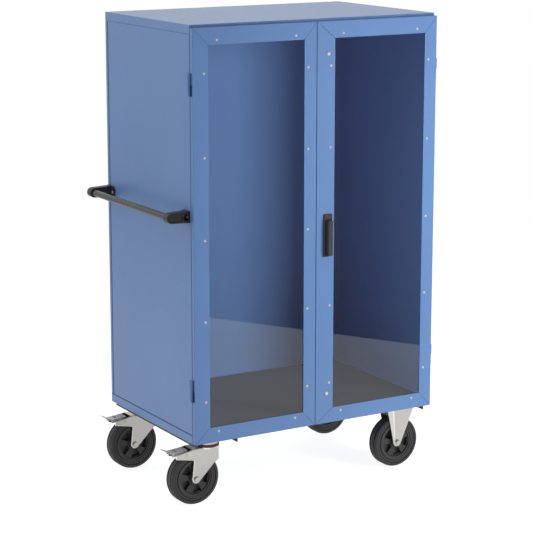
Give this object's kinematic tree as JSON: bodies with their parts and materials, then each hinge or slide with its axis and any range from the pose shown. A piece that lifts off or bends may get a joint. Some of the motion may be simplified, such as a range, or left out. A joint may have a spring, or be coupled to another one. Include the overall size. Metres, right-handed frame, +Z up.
{
  "type": "cabinet trolley",
  "caption": "Tall steel cabinet on braked swivel and fixed castors, with clear-panelled double doors, a rod lock and a side push bar.",
  "frame": {"origin": "on the floor, under the middle of the whole trolley's outline", "axes": "+Z up, doors face -Y, push bar at -X"},
  "size_m": [1.1544, 0.7156, 1.785],
  "materials": {
    "blue_paint": "powder coat with a fine texture and a soft sheen",
    "grey_paint": "dark grey paint",
    "grey_board": "board with a dark grey facing",
    "black_paint": "satin black powder coat",
    "black_plastic": "moulded, fine grain",
    "zinc_steel": "bright zinc plate",
    "clear_sheet": "clear polished sheet",
    "red_seal": "dark red moulded ring",
    "black_tyre": "solid rubber, matt",
    "grey_rim": "moulded, matt"
  },
  "bodies": {
    "cabinet": {"castor_beams": "grey_paint", "bottom_tray": "blue_paint", "floor_board": "grey_board", "side_panel_left": "blue_paint", "side_panel_right": "blue_paint", "back_panel": "blue_paint", "lid": "blue_paint", "push_bar": "black_paint", "push_bar_brackets": "black_plastic", "push_bar_screws": "zinc_steel", "cabinet_hinge_leaves": "blue_paint", "hinge_pins": "zinc_steel", "door_catch_magnet": "black_plastic", "castor_bolts": "zinc_steel", "swivel_top_plates": "zinc_steel", "swivel_seals": "red_seal", "swivel_ball_races": "zinc_steel", "kingpins": "zinc_steel", "fixed_forks": "zinc_steel", "fixed_axles": "zinc_steel"},
    "left_door": {"left_hinge_stile": "blue_paint", "left_meeting_stile": "blue_paint", "left_top_rail": "blue_paint", "left_bottom_rail": "blue_paint", "left_pane": "clear_sheet", "left_pane_rivets": "zinc_steel", "left_door_hinge_leaves": "blue_paint", "door_catch_plate": "zinc_steel"},
    "right_door": {"right_hinge_stile": "blue_paint", "right_meeting_stile": "blue_paint", "right_top_rail": "blue_paint", "right_bottom_rail": "blue_paint", "right_pane": "clear_sheet", "right_pane_rivets": "zinc_steel", "right_door_hinge_leaves": "blue_paint", "lock_base": "black_plastic", "rod_guides": "black_plastic", "rod_guide_bolts": "zinc_steel"},
    "latch": {"lock_handle": "black_plastic", "lock_cam": "zinc_steel"},
    "top_rod": {"lock_rod_top": "zinc_steel"},
    "bottom_rod": {"lock_rod_bottom": "zinc_steel"},
    "swivel_front": {"swivel_fork_front": "zinc_steel", "swivel_axle_front": "zinc_steel"},
    "brake_front": {"brake_pedal_front": "zinc_steel"},
    "swivel_rear": {"swivel_fork_rear": "zinc_steel", "swivel_axle_rear": "zinc_steel"},
    "brake_rear": {"brake_pedal_rear": "zinc_steel"},
    "wheel_front_left": {"tyre_front_left": "black_tyre", "rim_front_left": "grey_rim", "wheel_bush_front_left": "zinc_steel"},
    "wheel_front_right": {"tyre_front_right": "black_tyre", "rim_front_right": "grey_rim", "wheel_bush_front_right": "zinc_steel"},
    "wheel_rear_left": {"tyre_rear_left": "black_tyre", "rim_rear_left": "grey_rim", "wheel_bush_rear_left": "zinc_steel"},
    "wheel_rear_right": {"tyre_rear_right": "black_tyre", "rim_rear_right": "grey_rim", "wheel_bush_rear_right": "zinc_steel"}
  },
  "joints": [
    {"name": "left_door_swing", "type": "hinge", "parent": "cabinet", "child": "left_door", "pos_m": [-0.48875, -0.3137, 0], "axis": [0, 0, -1], "range_deg": [0, 105]},
    {"name": "right_door_swing", "type": "hinge", "parent": "cabinet", "child": "right_door", "pos_m": [0.56925, -0.3137, 0], "axis": [0, 0, 1], "range_deg": [0, 180]},
    {"name": "handle_turn", "type": "hinge", "parent": "right_door", "child": "latch", "pos_m": [0.08125, -0.3392, 1.029], "axis": [0, -1, 0], "range_deg": [0, 90]},
    {"name": "top_rod_slide", "type": "slide", "parent": "right_door", "child": "top_rod", "axis": [0, 0, 1], "range_m": [0, 0.02]},
    {"name": "bottom_rod_slide", "type": "slide", "parent": "right_door", "child": "bottom_rod", "axis": [0, 0, -1], "range_m": [0, 0.02]},
    {"name": "front_swivel", "type": "hinge", "parent": "cabinet", "child": "swivel_front", "pos_m": [-0.37975, -0.2292, 0.217], "axis": [0, 0, 1], "continuous": true},
    {"name": "front_brake_press", "type": "hinge", "parent": "swivel_front", "child": "brake_front", "pos_m": [-0.48375, -0.2292, 0.201], "axis": [0, -1, 0], "range_deg": [0, 10]},
    {"name": "front_left_wheel_spin", "type": "hinge", "parent": "swivel_front", "child": "wheel_front_left", "pos_m": [-0.44175, -0.2292, 0.1], "axis": [0, 1, 0], "continuous": true},
    {"name": "front_right_wheel_spin", "type": "hinge", "parent": "cabinet", "child": "wheel_front_right", "pos_m": [0.46025, -0.2292, 0.1], "axis": [0, 1, 0], "continuous": true},
    {"name": "rear_swivel", "type": "hinge", "parent": "cabinet", "child": "swivel_rear", "pos_m": [-0.37975, 0.2748, 0.217], "axis": [0, 0, 1], "continuous": true},
    {"name": "rear_brake_press", "type": "hinge", "parent": "swivel_rear", "child": "brake_rear", "pos_m": [-0.48375, 0.2748, 0.201], "axis": [0, -1, 0], "range_deg": [0, 10]},
    {"name": "rear_left_wheel_spin", "type": "hinge", "parent": "swivel_rear", "child": "wheel_rear_left", "pos_m": [-0.44175, 0.2748, 0.1], "axis": [0, 1, 0], "continuous": true},
    {"name": "rear_right_wheel_spin", "type": "hinge", "parent": "cabinet", "child": "wheel_rear_right", "pos_m": [0.46025, 0.2748, 0.1], "axis": [0, 1, 0], "continuous": true}
  ],
  "couplings": [
    {"joint": "top_rod_slide", "follows": "handle_turn", "m_per_rad": 0.012732},
    {"joint": "bottom_rod_slide", "follows": "handle_turn", "m_per_rad": 0.012732}
  ]
}
